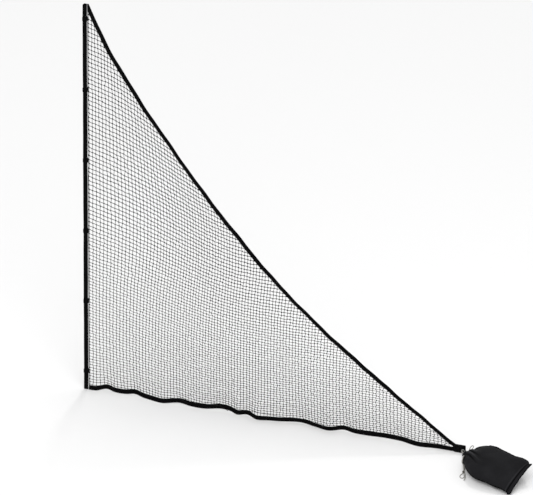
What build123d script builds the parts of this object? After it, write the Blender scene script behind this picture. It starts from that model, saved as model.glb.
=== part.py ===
"""Side net for a golf practice bay: a three-cornered net that straps to an upright post, with a
drawstring bag of sand that holds its front corner down.

Frame: millimetres, +Z up. The origin is on the axis of the post, at mid height of the lowest post
strap. +X runs along the net from the post to the front corner. The net hangs in the plane y = NET_Y,
in front of the post, and -Y is the side that the golfer sees.
"""

import os
from math import cos, pi, radians, sin, tan

from build123d import *

os.makedirs("parts", exist_ok=True)

# ---- Driving dimensions ----
POST_RADIUS = 12.5  # a 1 in tube
EDGE_HEIGHT = 2286.0  # 7 ft 6 in, the height of the post edge
NET_LENGTH = 2130.0  # from the post axis to the end of the corner tab
GROUND = -100.0  # the ground lies this far below the lowest strap's middle
CLEAR = 0.3  # between separate pieces that don't touch

WEB_WIDTH = 25.0  # edge webbing
WEB_THICK = 2.4  # two layers of webbing with the netting between them
NET_THICK = 1.0

STRAP_COUNT = 6
STRAP_WIDTH = 20.0
STRAP_THICK = 1.5
STRAP_PITCH = 417.0
PATCH_THICK = 1.0
SEWN_PAD_HALF = 10.0  # half the length of the strap's flat sewn part
NEAR_ARM_END = 70.0  # degrees, where the strap's short arm ends, from +X
FLAP_END = -2.0  # degrees, where the closed flap ends

EDGE_CENTRE_X = 5.3  # the edge webbing sits a little to the net's side of the post axis
SWING_GAP = 1.5  # from the swing axis to the pieces on the net's side

TAB_LENGTH = 66.0
TAB_HEIGHT = 46.0
TAB_LAYER = 1.2
EYELET_INSET = 14.0  # from the tab's end to the eyelet's centre
EYELET_RISE = 13.0  # from the ground
EYELET_BORE = 6.2
EYELET_BARREL = 7.0
EYELET_FLANGE = 11.0
FLANGE_THICK = 0.7

CORD = 4.0  # diameter of the drawcord
TIE_HEADING = -40.0  # degrees in plan, from the eyelet to the bag's neck
BAG_HEADING = -24.0  # degrees in plan, along the bag
NECK_REACH = 50.0  # from the eyelet's centre to the neck
NECK_RISE = 15.0
CLOTH = 1.6  # the bag's wall
SAND_GAP = 2.0  # between the sand and the wall

# ---- Worked out ----
SEAT_Y = -(POST_RADIUS + STRAP_THICK + CLEAR)  # where the edge webbing meets the straps
NET_Y = SEAT_Y - WEB_THICK / 2
SWING_X = EDGE_CENTRE_X + WEB_WIDTH / 2
NET_START = SWING_X + SWING_GAP
TOP = GROUND + EDGE_HEIGHT
TAB_START = NET_LENGTH - TAB_LENGTH
EYELET_X = NET_LENGTH - EYELET_INSET
EYELET_Z = GROUND + EYELET_RISE
STRAP_HEIGHTS = [i * STRAP_PITCH for i in range(STRAP_COUNT)]


def polar(radius, degrees):
    """A point in the plan of the post."""
    return (radius * cos(radians(degrees)), radius * sin(radians(degrees)))


def finish(piece, label):
    """Labels a finished piece and writes its STEP file."""
    piece.part.label = label
    export_step(piece.part, f"parts/{label}.step")


# ---- Post edge: the webbing that stands along the post ----
with BuildPart() as post_edge_webbing:
    with BuildSketch(Plane.XY.offset(GROUND)):
        with Locations((EDGE_CENTRE_X, NET_Y)):
            Rectangle(WEB_WIDTH, WEB_THICK)
    extrude(amount=EDGE_HEIGHT)
    fillet(post_edge_webbing.edges().filter_by(Axis.Y), radius=6)
finish(post_edge_webbing, "post_edge_webbing")

# ---- Post straps: each is sewn to the edge webbing and wraps the post with two arms ----
RING_OUT = POST_RADIUS + STRAP_THICK
LOOP_OUT = RING_OUT + PATCH_THICK
HOOK_IN = LOOP_OUT + CLEAR
FLAP_IN = HOOK_IN + PATCH_THICK


def sector(radius_in, radius_out, start, end):
    """A band of a ring between two angles."""
    with BuildSketch(mode=Mode.PRIVATE) as band:
        with BuildLine():
            CenterArc((0, 0), radius_in, start, end - start)
            CenterArc((0, 0), radius_out, start, end - start)
            Line(polar(radius_in, start), polar(radius_out, start))
            Line(polar(radius_in, end), polar(radius_out, end))
        make_face()
    return band.sketch


def flap_radius(degrees):
    """Inner radius of the flap: on the post at the fold, and clear of the short arm at the overlap."""
    lift = min(1.0, (180.0 - degrees) / (180.0 - NEAR_ARM_END - 12.0))
    ease = lift * lift * (3.0 - 2.0 * lift)
    return POST_RADIUS + 0.1 + (FLAP_IN - POST_RADIUS - 0.1) * ease


FLAP_ANGLES = [178.0, 160.0, 140.0, 120.0, 100.0, 72.0, 45.0, 20.0, FLAP_END]

for number, height in enumerate(STRAP_HEIGHTS, start=1):
    low = Plane.XY.offset(height - STRAP_WIDTH / 2)

    with BuildPart() as post_strap:
        with BuildSketch(low):
            add(sector(POST_RADIUS, RING_OUT, 180.0, 360.0 + NEAR_ARM_END))
            with Locations((EDGE_CENTRE_X, (SEAT_Y - POST_RADIUS - 0.2) / 2)):
                Rectangle(2 * SEWN_PAD_HALF, -SEAT_Y - POST_RADIUS - 0.2)
        extrude(amount=STRAP_WIDTH)
    finish(post_strap, f"post_strap_{number}")

    with BuildPart() as loop_patch:
        with BuildSketch(low.offset(1.0)):
            add(sector(RING_OUT, LOOP_OUT, 0.0, NEAR_ARM_END - 2.0))
        extrude(amount=STRAP_WIDTH - 2.0)
    finish(loop_patch, f"loop_patch_{number}")

    with BuildPart() as strap_flap:
        with BuildSketch(low):
            with BuildLine():
                Spline(*[polar(flap_radius(a), a) for a in FLAP_ANGLES])
                Spline(*[polar(flap_radius(a) + STRAP_THICK, a) for a in FLAP_ANGLES])
                for a in (FLAP_ANGLES[0], FLAP_ANGLES[-1]):
                    Line(polar(flap_radius(a), a), polar(flap_radius(a) + STRAP_THICK, a))
            make_face()
        extrude(amount=STRAP_WIDTH)
    finish(strap_flap, f"strap_flap_{number}")

    with BuildPart() as hook_patch:
        with BuildSketch(low.offset(1.0)):
            add(sector(HOOK_IN, FLAP_IN - 0.02, 1.0, NEAR_ARM_END - 4.0))
        extrude(amount=STRAP_WIDTH - 2.0)
    finish(hook_patch, f"hook_patch_{number}")

# ---- Net: a three-cornered panel with webbing on its sloped edge and its hem ----
# The sloped edge sags inward as a parabola: a Bezier curve of three points, in the (x, z) plane.
SLOPE_TOP = (SWING_X + 6.0, TOP - 10.0)
SLOPE_END = (TAB_START + 12.0, GROUND + 30.0)
SLOPE_SAG_SHARE = 0.138  # the middle control point stands this share of the chord off it
SLOPE_SAG_ALONG = 0.453  # and this share of the way down


def slope_points(offset):
    """The three points of the sloped edge, moved outward from its centre line by an offset."""
    (x0, z0), (x2, z2) = SLOPE_TOP, SLOPE_END
    run, drop = x2 - x0, z2 - z0
    chord = (run**2 + drop**2) ** 0.5
    out_x, out_z = -drop / chord, run / chord
    middle = offset - SLOPE_SAG_SHARE * chord
    return [
        (x0 + out_x * offset, z0 + out_z * offset),
        (x0 + SLOPE_SAG_ALONG * run + out_x * middle, z0 + SLOPE_SAG_ALONG * drop + out_z * middle),
        (x2 + out_x * offset, z2 + out_z * offset),
    ]


def net_plane(y):
    """A sketch plane parallel to the net: local x is +X and local y is +Z."""
    return Plane(origin=(0, y, 0), x_dir=(1, 0, 0), z_dir=(0, -1, 0))


OUTER_EDGE = slope_points(WEB_WIDTH / 2 - 1.5)
INNER_EDGE = slope_points(-WEB_WIDTH / 2 + 1.5)
HEM_TOP = GROUND + WEB_WIDTH

with BuildPart() as sloped_webbing:
    with BuildSketch(net_plane(NET_Y - WEB_THICK / 2)):
        with BuildLine():
            Bezier(*OUTER_EDGE)
            Bezier(*INNER_EDGE)
            Line(OUTER_EDGE[0], INNER_EDGE[0])
            Line(OUTER_EDGE[-1], INNER_EDGE[-1])
        make_face()
    extrude(amount=-WEB_THICK)
    split(bisect_by=Plane(origin=(NET_START, 0, 0), z_dir=(1, 0, 0)), keep=Keep.TOP)
    split(bisect_by=Plane(origin=(0, 0, HEM_TOP), z_dir=(0, 0, 1)), keep=Keep.TOP)
finish(sloped_webbing, "sloped_webbing")

with BuildPart() as net_panel:
    with BuildSketch(net_plane(NET_Y - NET_THICK / 2)):
        with BuildLine():
            Bezier(*INNER_EDGE)
            Polyline(INNER_EDGE[0], (0, TOP), (0, GROUND), (INNER_EDGE[-1][0], GROUND), INNER_EDGE[-1])
        make_face()
    extrude(amount=-NET_THICK)
    split(bisect_by=Plane(origin=(NET_START, 0, 0), z_dir=(1, 0, 0)), keep=Keep.TOP)
    split(bisect_by=Plane(origin=(0, 0, HEM_TOP), z_dir=(0, 0, 1)), keep=Keep.TOP)
finish(net_panel, "net_panel")

with BuildPart() as hem_webbing:
    with BuildSketch(net_plane(NET_Y - WEB_THICK / 2)):
        with Locations(((NET_START + NET_LENGTH - 2.0) / 2, GROUND + WEB_WIDTH / 2)):
            Rectangle(NET_LENGTH - 2.0 - NET_START, WEB_WIDTH)
        with Locations((EYELET_X, EYELET_Z)):
            Circle(EYELET_BARREL, mode=Mode.SUBTRACT)
    extrude(amount=-WEB_THICK)
finish(hem_webbing, "hem_webbing")

# ---- Front corner: two tab layers over the webbing ends, and an eyelet through them ----
TAB_FACE = WEB_THICK / 2 + TAB_LAYER  # from the net's plane to the tab's outer face
for label, y_start in (("corner_tab_front", -TAB_FACE), ("corner_tab_back", WEB_THICK / 2)):
    with BuildPart() as corner_tab:
        with BuildSketch(net_plane(NET_Y + y_start)):
            with Locations((TAB_START + TAB_LENGTH / 2, GROUND + TAB_HEIGHT / 2)):
                RectangleRounded(TAB_LENGTH, TAB_HEIGHT, radius=3)
            with Locations((EYELET_X, EYELET_Z)):
                Circle(EYELET_BARREL, mode=Mode.SUBTRACT)
        extrude(amount=-TAB_LAYER)
    finish(corner_tab, label)

with BuildPart() as eyelet:
    with BuildSketch(net_plane(NET_Y - TAB_FACE - FLANGE_THICK)):
        with Locations((EYELET_X, EYELET_Z)):
            Circle(EYELET_FLANGE)
            Circle(EYELET_BORE, mode=Mode.SUBTRACT)
    extrude(amount=-FLANGE_THICK)
    with BuildSketch(net_plane(NET_Y - TAB_FACE)):
        with Locations((EYELET_X, EYELET_Z)):
            Circle(EYELET_BARREL)
            Circle(EYELET_BORE, mode=Mode.SUBTRACT)
    extrude(amount=-2 * TAB_FACE - FLANGE_THICK)
finish(eyelet, "eyelet")

with BuildPart() as eyelet_washer:
    with BuildSketch(net_plane(NET_Y + TAB_FACE)):
        with Locations((EYELET_X, EYELET_Z)):
            Circle(EYELET_FLANGE)
            Circle(EYELET_BARREL, mode=Mode.SUBTRACT)
    extrude(amount=-FLANGE_THICK)
finish(eyelet_washer, "eyelet_washer")


# ---- Weight bag ----
def along(heading):
    """Unit vector in plan for a heading in degrees."""
    return Vector(cos(radians(heading)), sin(radians(heading)), 0)


def across(heading):
    """Unit vector in plan to the left of a heading."""
    return Vector(-sin(radians(heading)), cos(radians(heading)), 0)


EYELET_POINT = Vector(EYELET_X, NET_Y, GROUND)
NECK = EYELET_POINT + along(TIE_HEADING) * NECK_REACH
UP = Vector(0, 0, 1)


def tie_point(reach, side, rise):
    """A point given from the eyelet, along and across the tie's heading."""
    return EYELET_POINT + along(TIE_HEADING) * reach + across(TIE_HEADING) * side + UP * rise


def bag_point(reach, side, rise):
    """A point given from the neck, along and across the bag's heading."""
    return NECK + along(BAG_HEADING) * reach + across(BAG_HEADING) * side + UP * rise


def section_plane(centre, heading, roll):
    """A plane across the bag: local x runs across it, rolled up from level, and z along it."""
    level = across(heading)
    x_dir = level * cos(radians(roll)) + UP * sin(radians(roll))
    return Plane(origin=centre, x_dir=x_dir, z_dir=along(heading))


NECK_HALF_WIDTH, NECK_HALF_HEIGHT = 24.0, 12.0
CHANNEL_HALF_LENGTH = 7.0
# along the bag, across it, height of centre, half width, half height, heading, roll
STATIONS = [
    (40.0, -17.0, 34.0, 50.0, 31.0, -32.0, 0.0),
    (90.0, -32.0, 49.0, 86.0, 47.0, -28.0, 0.0),
    (150.0, -56.0, 60.0, 113.0, 59.0, -24.0, 0.0),
    (212.0, -70.0, 62.0, 131.0, 61.0, -22.0, 0.0),
    (300.0, -66.0, 63.0, 124.0, 61.0, -23.0, 3.0),
    (360.0, -61.0, 60.0, 119.0, 54.0, -21.0, 11.0),
    (402.0, -65.0, 60.0, 114.0, 37.0, -18.0, 17.0),
    (424.0, -73.0, 58.0, 104.0, 5.0, -15.0, 25.0),
]
NECK_PLANE = section_plane(tie_point(NECK_REACH + CHANNEL_HALF_LENGTH, 0, NECK_RISE), TIE_HEADING, 0)
SECTIONS = [(NECK_PLANE, NECK_HALF_WIDTH, NECK_HALF_HEIGHT)]
for reach, side, rise, half_width, half_height, heading, roll in STATIONS:
    SECTIONS.append((section_plane(bag_point(reach, side, rise), heading, roll), half_width, half_height))


for label, sign in (("bag_upper_panel", 1), ("bag_lower_panel", -1)):
    with BuildPart() as bag_panel:
        for plane, half_width, half_height in SECTIONS:
            with BuildSketch(plane):
                Ellipse(half_width, half_height)
                Ellipse(half_width - CLOTH, half_height - CLOTH, mode=Mode.SUBTRACT)
                with Locations((0, sign * (CLEAR / 2 - half_height))):
                    Rectangle(3 * half_width, 2 * half_height, mode=Mode.SUBTRACT)
        loft()
    finish(bag_panel, label)

with BuildPart() as sand_fill:
    for plane, half_width, half_height in SECTIONS:
        with BuildSketch(plane):
            Ellipse(half_width - CLOTH - SAND_GAP, half_height - CLOTH - SAND_GAP)
    loft()
finish(sand_fill, "sand_fill")

END_HEM_LENGTH = 16.0
END_HEM_THICK = 4.0
with BuildPart() as bag_end_hem:
    end_plane, end_half_width, _ = SECTIONS[-1]
    with BuildSketch(end_plane.offset(CLEAR)):
        Rectangle(2 * end_half_width, END_HEM_THICK)
    extrude(amount=END_HEM_LENGTH)
finish(bag_end_hem, "bag_end_hem")

# The mouth: a sewn channel that holds the cord, and the gathered frill that stands out of it.
CHANNEL_START = section_plane(
    tie_point(NECK_REACH - CHANNEL_HALF_LENGTH, 0, NECK_RISE), TIE_HEADING, 0
)
CHANNEL_MIDDLE = CHANNEL_START.offset(CHANNEL_HALF_LENGTH)
TURN_HALF_WIDTH, TURN_HALF_HEIGHT = NECK_HALF_WIDTH - 3.5, NECK_HALF_HEIGHT - 3.5
EXIT_BORE = CORD / 2 + CLEAR
EXIT_HALF = 5.6  # half the length of the slots where the cord leaves the channel

with BuildPart() as bag_mouth_channel:
    with BuildSketch(CHANNEL_START):
        Ellipse(NECK_HALF_WIDTH + 1.0, NECK_HALF_HEIGHT + 1.0)
    extrude(amount=2 * CHANNEL_HALF_LENGTH - CLEAR)
    with BuildSketch(CHANNEL_MIDDLE.offset(-EXIT_BORE)):
        Ellipse(TURN_HALF_WIDTH + EXIT_BORE, TURN_HALF_HEIGHT + EXIT_BORE)
        Ellipse(TURN_HALF_WIDTH - EXIT_BORE, TURN_HALF_HEIGHT - EXIT_BORE, mode=Mode.SUBTRACT)
    extrude(amount=2 * EXIT_BORE, mode=Mode.SUBTRACT)
    with BuildSketch(CHANNEL_MIDDLE.offset(-EXIT_HALF)):
        with Locations((-NECK_HALF_WIDTH, 0)):
            Rectangle(16, 12)
        with Locations((3, NECK_HALF_HEIGHT)):
            Rectangle(26, 11)
    extrude(amount=2 * EXIT_HALF, mode=Mode.SUBTRACT)
finish(bag_mouth_channel, "bag_mouth_channel")

FRILL_LENGTH = 13.0
with BuildPart() as bag_mouth_frill:
    with BuildSketch(CHANNEL_START.offset(-CLEAR)):
        Ellipse(NECK_HALF_WIDTH - 5, NECK_HALF_HEIGHT - 4)
    with BuildSketch(CHANNEL_START.offset(-CLEAR - FRILL_LENGTH)):
        Ellipse(NECK_HALF_WIDTH + 2, NECK_HALF_HEIGHT - 4)
    loft()
finish(bag_mouth_frill, "bag_mouth_frill")

with BuildPart() as drawcord_neck_turn:
    with BuildSketch(CHANNEL_MIDDLE.offset(-CORD / 2)):
        Ellipse(TURN_HALF_WIDTH + CORD / 2, TURN_HALF_HEIGHT + CORD / 2)
        Ellipse(TURN_HALF_WIDTH - CORD / 2, TURN_HALF_HEIGHT - CORD / 2, mode=Mode.SUBTRACT)
    extrude(amount=CORD)
finish(drawcord_neck_turn, "drawcord_neck_turn")

# ---- Drawcord: its free lengths ----
TIE_HALF = 15.0
TIE_ROUTE = [
    tie_point(22, TIE_HALF - 3, EYELET_RISE + 1),
    tie_point(12, TIE_HALF, EYELET_RISE),
    tie_point(3, TIE_HALF - 3, EYELET_RISE),
    tie_point(-1, 4, EYELET_RISE),
    tie_point(-1, -4, EYELET_RISE),
    tie_point(3, -TIE_HALF + 3, EYELET_RISE),
    tie_point(12, -TIE_HALF, EYELET_RISE),
    tie_point(22, -TIE_HALF + 3, EYELET_RISE + 1),
]
LOOP_LEAN = 30.0  # degrees, how far the loop at the neck leans from upright
LOOP_HEADING = 19.9  # degrees in plan, across the loop


def loop_point(reach, side):
    """A point of the loop that stands up from the neck, along and across its own leaning line."""
    level = 1 + reach * sin(radians(LOOP_LEAN)) + side * cos(radians(LOOP_LEAN))
    rise = NECK_RISE + 9 + reach * cos(radians(LOOP_LEAN)) - side * sin(radians(LOOP_LEAN))
    return NECK + along(LOOP_HEADING) * level + UP * rise


# The loop that was pulled out of the top of the neck
TOP_LOOP_ROUTE = [
    loop_point(0, -3),
    loop_point(13, -4.5),
    loop_point(27, -6),
    loop_point(40, -6.5),
    loop_point(50, -3),
    loop_point(50, 4),
    loop_point(39, 7),
    loop_point(26, 5),
    loop_point(12, 4),
    loop_point(0, 3),
]
LIE = CORD / 2 + 0.2  # a cord on the ground
# Both ends leave the near side of the neck, lie on the ground, and meet in a knot.
LEFT_END_ROUTE = [
    tie_point(47.6, -23, NECK_RISE),
    bag_point(-5, -33, 12),
    bag_point(-5, -45, 5),
    bag_point(4, -58, LIE),
    bag_point(25, -71, LIE),
    bag_point(50, -87, LIE),
    bag_point(76, -113, LIE),
    bag_point(97, -138, LIE + 1),
    bag_point(110, -157, LIE + 1),
    bag_point(115, -177, LIE),
    bag_point(127, -197, LIE),
    bag_point(146, -203, LIE),
    bag_point(153, -189, LIE),
    bag_point(141, -173, LIE),
    bag_point(122, -160, LIE + 1),
]
RIGHT_END_ROUTE = [
    tie_point(52.3, -23, NECK_RISE),
    bag_point(1, -35, 10.5),
    bag_point(4, -47, 4),
    bag_point(15, -58, LIE),
    bag_point(35, -71, LIE),
    bag_point(60, -90, LIE),
    bag_point(84, -116, LIE),
    bag_point(106, -144, LIE + 3),
    bag_point(123, -153, LIE + 1),
    bag_point(145, -166, LIE),
    bag_point(163, -184, LIE),
    bag_point(173, -203, LIE),
]
KNOT = bag_point(106, -147, 0)


def corner_radii(route):
    """One radius for each corner of a route: 0.45 of its shorter run over the tangent of half its turn."""
    radii = []
    for before, here, after in zip(route, route[1:], route[2:]):
        first, second = here - before, after - here
        turn = first.get_angle(second)
        radii.append(0.45 * min(first.length, second.length) / tan(radians(turn) / 2))
    return radii


cord_routes = {
    "drawcord_tie": TIE_ROUTE,
    "drawcord_top_loop": TOP_LOOP_ROUTE,
    "drawcord_left_end": LEFT_END_ROUTE,
    "drawcord_right_end": RIGHT_END_ROUTE,
}
for label, route in cord_routes.items():
    radii = corner_radii(route)
    with BuildPart() as cord_tube:
        with BuildLine() as path:
            FilletPolyline(*route, radius=radii)
        with BuildSketch(Plane(origin=path.line @ 0, z_dir=path.line % 0)):
            Circle(CORD / 2)
        sweep()
    length = path.wires()[0].length
    tube_volume = pi * (CORD / 2) ** 2 * length
    print(label, "length", round(length, 1), "radii", [round(r, 1) for r in radii])
    print(label, "volume share", round(cord_tube.part.volume / tube_volume, 4))
    finish(cord_tube, label)

KNOT_RADIUS = 7.0
with BuildPart() as drawcord_knot:
    with BuildSketch(Plane(origin=KNOT, x_dir=along(BAG_HEADING - 40), z_dir=UP)):
        Ellipse(KNOT_RADIUS + 2, KNOT_RADIUS)
    extrude(amount=1.6 * KNOT_RADIUS)
    fillet(drawcord_knot.edges(), radius=3)
finish(drawcord_knot, "drawcord_knot")
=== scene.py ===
"""Looks of the golf practice side net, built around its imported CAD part. Metres, +Z up, row frame."""

from math import cos, pi, radians, sin, tau

import bpy
import numpy as np
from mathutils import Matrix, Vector


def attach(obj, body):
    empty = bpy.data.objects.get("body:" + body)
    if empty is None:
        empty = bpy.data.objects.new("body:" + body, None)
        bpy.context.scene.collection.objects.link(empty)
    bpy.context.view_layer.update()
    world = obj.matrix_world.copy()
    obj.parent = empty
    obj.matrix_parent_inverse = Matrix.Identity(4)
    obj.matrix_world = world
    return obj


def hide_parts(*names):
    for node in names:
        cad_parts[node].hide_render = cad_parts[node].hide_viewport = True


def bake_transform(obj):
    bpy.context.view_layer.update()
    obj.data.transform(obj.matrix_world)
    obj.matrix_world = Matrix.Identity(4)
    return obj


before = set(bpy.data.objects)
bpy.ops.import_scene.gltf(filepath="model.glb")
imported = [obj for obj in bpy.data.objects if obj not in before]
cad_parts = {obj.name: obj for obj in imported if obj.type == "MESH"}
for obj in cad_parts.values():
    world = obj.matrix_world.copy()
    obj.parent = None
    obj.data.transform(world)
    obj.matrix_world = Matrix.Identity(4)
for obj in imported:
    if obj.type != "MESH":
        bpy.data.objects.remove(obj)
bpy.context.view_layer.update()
scene = bpy.context.scene
rng = np.random.default_rng(7)

# ---- Shared sizes, the same as the CAD's ----
GROUND = -0.1
TOP = 2.186
NET_Y = -0.0155
SWING_X = 0.0178
SWING_GAP = 0.0015
EDGE_CENTRE_X = 0.0053
NET_LENGTH = 2.130
WEB = 0.025
WEB_THICK = 0.0024
BAND_TOP = TOP - 0.0015
STRAP_HEIGHTS = [0.417 * i for i in range(6)]
EYELET = Vector((2.116, NET_Y, GROUND + 0.013))


def add_object(name, data):
    made = bpy.data.objects.new(name, data)
    scene.collection.objects.link(made)
    return made


def aim(made, direction):
    """Turns a camera or a light so that it looks along a direction."""
    made.rotation_euler = Vector(direction).to_track_quat("-Z", "Y").to_euler()


# ---- Camera: far away, with a long lens ----
TARGET = Vector((1.0173, NET_Y, 0.9231))
AZIMUTH, ELEVATION, DISTANCE = radians(19.9), radians(27.63), 116.5
outward = Vector((sin(AZIMUTH) * cos(ELEVATION), -cos(AZIMUTH) * cos(ELEVATION), sin(ELEVATION)))
camera = add_object("camera", bpy.data.cameras.new("camera"))
camera.location = TARGET + outward * DISTANCE
aim(camera, -outward)
camera.data.lens = 1500
camera.data.clip_end = 500
scene.camera = camera


# ---- Shader helper ----
class Graph:
    """A material's node tree, with a function for each kind of node that is used here."""

    def __init__(self, name):
        self.material = bpy.data.materials.new(name)
        self.material.use_nodes = True
        self.nodes = self.material.node_tree.nodes
        self.links = self.material.node_tree.links
        self.shader = self.nodes["Principled BSDF"]

    def put(self, socket, value):
        """Sets a socket to a value, or joins it to another node's socket."""
        if isinstance(value, bpy.types.NodeSocket):
            self.links.new(value, socket)
        elif value is not None:
            socket.default_value = value

    def node(self, kind, settings=None, **inputs):
        made = self.nodes.new(kind)
        for key, value in (settings or {}).items():
            setattr(made, key, value)
        for key, value in inputs.items():
            self.put(made.inputs[key.replace("_", " ")], value)
        return made

    def math(self, operation, a, b=None):
        made = self.node("ShaderNodeMath", {"operation": operation})
        for socket, value in zip(made.inputs, (a, b)):
            self.put(socket, value)
        return made.outputs[0]

    def times(self, a, b):
        return self.math("MULTIPLY", a, b)

    def wave(self, value, length):
        """A sine that repeats after a length."""
        return self.math("SINE", self.times(value, tau / length))

    def uv(self):
        """The two parts of the UV map, which is in metres."""
        coordinates = self.node("ShaderNodeTexCoord")
        split = self.node("ShaderNodeSeparateXYZ", Vector=coordinates.outputs["UV"])
        return split.outputs[0], split.outputs[1]

    def noise(self, scale, detail):
        place = self.node("ShaderNodeTexCoord").outputs["Object"]
        return self.node("ShaderNodeTexNoise", Vector=place, Scale=scale, Detail=detail).outputs["Fac"]

    def cells(self, scale):
        """Small round pits packed side by side."""
        place = self.node("ShaderNodeTexCoord").outputs["Object"]
        return self.node("ShaderNodeTexVoronoi", Vector=place, Scale=scale).outputs["Distance"]

    def ramp(self, fac, low, high, dark, light):
        """A colour that goes from dark at fac = low to light at fac = high."""
        made = self.node("ShaderNodeValToRGB", Fac=fac)
        first, last = made.color_ramp.elements
        first.position, last.position = low, high
        first.color, last.color = (*dark, 1), (*light, 1)
        return made.outputs["Color"]

    def between(self, value, low, high):
        """0 at low and 1 at high, with a smooth step between."""
        made = self.node("ShaderNodeMapRange", {"interpolation_type": "SMOOTHSTEP"}, Value=value,
                         From_Min=low, From_Max=high)
        return made.outputs["Result"]

    def bump(self, height, depth, strength, below=None):
        made = self.node("ShaderNodeBump", Height=height, Distance=depth, Strength=strength, Normal=below)
        return made.outputs["Normal"]

    def mix(self, factor, colour, other):
        made = self.node("ShaderNodeMix", {"data_type": "RGBA"}, Factor=factor)
        for socket, value in zip(made.inputs[6:8], (colour, other)):  # its two colour sockets
            self.put(socket, value)
        return made.outputs[2]

    def finish(self, colour, roughness, specular, normal=None, metallic=0.0):
        if not isinstance(colour, bpy.types.NodeSocket):
            colour = (*colour, 1)
        values = {"Base Color": colour, "Roughness": roughness, "Specular IOR Level": specular,
                  "Metallic": metallic, "Normal": normal}
        for key, value in values.items():
            self.put(self.shader.inputs[key], value)
        return self.material


def webbing_material(name, dark, light, stitch=None):
    """Woven webbing: chevron ribs, a fine fuzz, and rows of stitches at a distance from the middle line."""
    rib_pitch, rib_width, stitch_pitch = 0.0022, 0.0021, 0.004
    g = Graph(name)
    u, v = g.uv()
    chevron = g.math("DIVIDE", g.math("PINGPONG", v, rib_width), rib_width)
    ribs = g.wave(g.math("ADD", g.math("DIVIDE", u, rib_pitch), chevron), 1)
    height = g.math("ADD", g.times(ribs, 0.5), g.times(g.wave(v, rib_width), 0.35))
    normal = g.bump(height, 0.00025, 0.7)
    normal = g.bump(g.noise(900, 4), 0.0002, 0.5, normal)
    colour = g.ramp(g.noise(60, 5), 0.3, 0.72, dark, light)
    if stitch:
        from_line = g.math("ABSOLUTE", g.math("SUBTRACT", g.math("ABSOLUTE", v), stitch))
        dash = g.math("SUBTRACT", g.math("PINGPONG", g.math("DIVIDE", u, stitch_pitch), 0.5), 0.14)
        line = g.math("SUBTRACT", 1.0, g.between(from_line, 0.0003, 0.0008))
        thread = g.times(g.between(dash, 0.0, 0.05), line)
        groove = g.math("SUBTRACT", 1.0, g.between(from_line, 0.0005, 0.0018))
        normal = g.bump(thread, 0.0006, 1.0, normal)
        normal = g.bump(g.times(groove, -1.0), 0.0008, 0.8, normal)
        colour = g.mix(g.times(thread, 0.6), colour, (0.012, 0.012, 0.013, 1))
    return g.finish(colour, 0.85, 0.03, normal)


def twine_material():
    """Black twisted twine of the netting: u runs along it and v round it, both in metres."""
    g = Graph("net_twine")
    u, v = g.uv()
    strands = g.math("ADD", g.math("DIVIDE", u, 0.0045), g.math("DIVIDE", v, 0.0023))
    normal = g.bump(g.wave(strands, 1), 0.00025, 0.8)
    colour = g.ramp(g.noise(40, 4), 0.3, 0.75, (0.003, 0.003, 0.0032), (0.010, 0.010, 0.011))
    return g.finish(colour, 0.7, 0.1, normal)


def cord_material(name, dark, light):
    """Grey braided cord. A curve's UV runs from 0 to 1, so the pattern is made in object space."""
    g = Graph(name)
    normal = g.bump(g.cells(900), 0.0004, 0.9)
    normal = g.bump(g.noise(2500, 2), 0.0001, 0.5, normal)
    colour = g.ramp(g.noise(220, 4), 0.25, 0.7, dark, light)
    return g.finish(colour, 0.8, 0.2, normal)


def cloth_material():
    """Dark polyester cloth of the bag: a fine plain weave, rubs, dust and small creases, with painted shade
    in the folds and painted highlights on the ridges.
    """
    weave = 0.0011
    g = Graph("bag_polyester")
    u, v = g.uv()
    normal = g.bump(g.times(g.wave(u, weave), g.wave(v, weave)), 0.00012, 0.6)
    normal = g.bump(g.noise(14, 5), 0.012, 0.28, normal)
    normal = g.bump(g.noise(55, 4), 0.0022, 0.22, normal)
    colour = g.ramp(g.noise(9, 6), 0.32, 0.7, (0.0092, 0.0092, 0.0101), (0.0146, 0.0146, 0.0160))
    dust = g.between(g.noise(150, 6), 0.62, 0.78)
    colour = g.mix(g.times(dust, 0.18), colour, (0.05, 0.048, 0.045, 1))
    # The mesh says how deep in a fold each point is: there the colour is darkened to near-black as painted
    # shade. Below 0 the point is on a ridge, which is lightened as a painted highlight.
    fold = g.node("ShaderNodeAttribute", {"attribute_name": "fold"}).outputs["Fac"]
    painted_crest_highlight = g.between(g.times(fold, -1.0), 0.0, 1.0)
    # Painted highlight on the ridges of the folds.
    colour = g.mix(g.times(painted_crest_highlight, 0.7), colour, (0.065, 0.065, 0.069, 1))
    # Painted shade in the folds.
    colour = g.mix(g.between(fold, 0.0, 0.6), colour, (0.0003, 0.0003, 0.0003, 1))
    return g.finish(colour, 0.8, 0.03, normal)


def rough_material(name, dark, light, scale, depth, roughness=0.9, specular=0.1):
    """A pile, hooks or grains: small pits and a mottled colour."""
    g = Graph(name)
    normal = g.bump(g.cells(scale), depth, 0.9)
    colour = g.ramp(g.noise(scale / 3, 4), 0.3, 0.7, dark, light)
    return g.finish(colour, roughness, specular, normal)


def metal_material():
    g = Graph("eyelet_steel")
    # The steel's own grey, darkened further as painted shade for the shade that the eyelet lies in.
    colour = g.ramp(g.noise(300, 5), 0.3, 0.75, (0.16, 0.16, 0.155), (0.38, 0.38, 0.37))
    normal = g.bump(g.noise(700, 3), 0.00008, 0.6)
    return g.finish(colour, 0.32, 0.5, normal, metallic=1.0)


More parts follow.
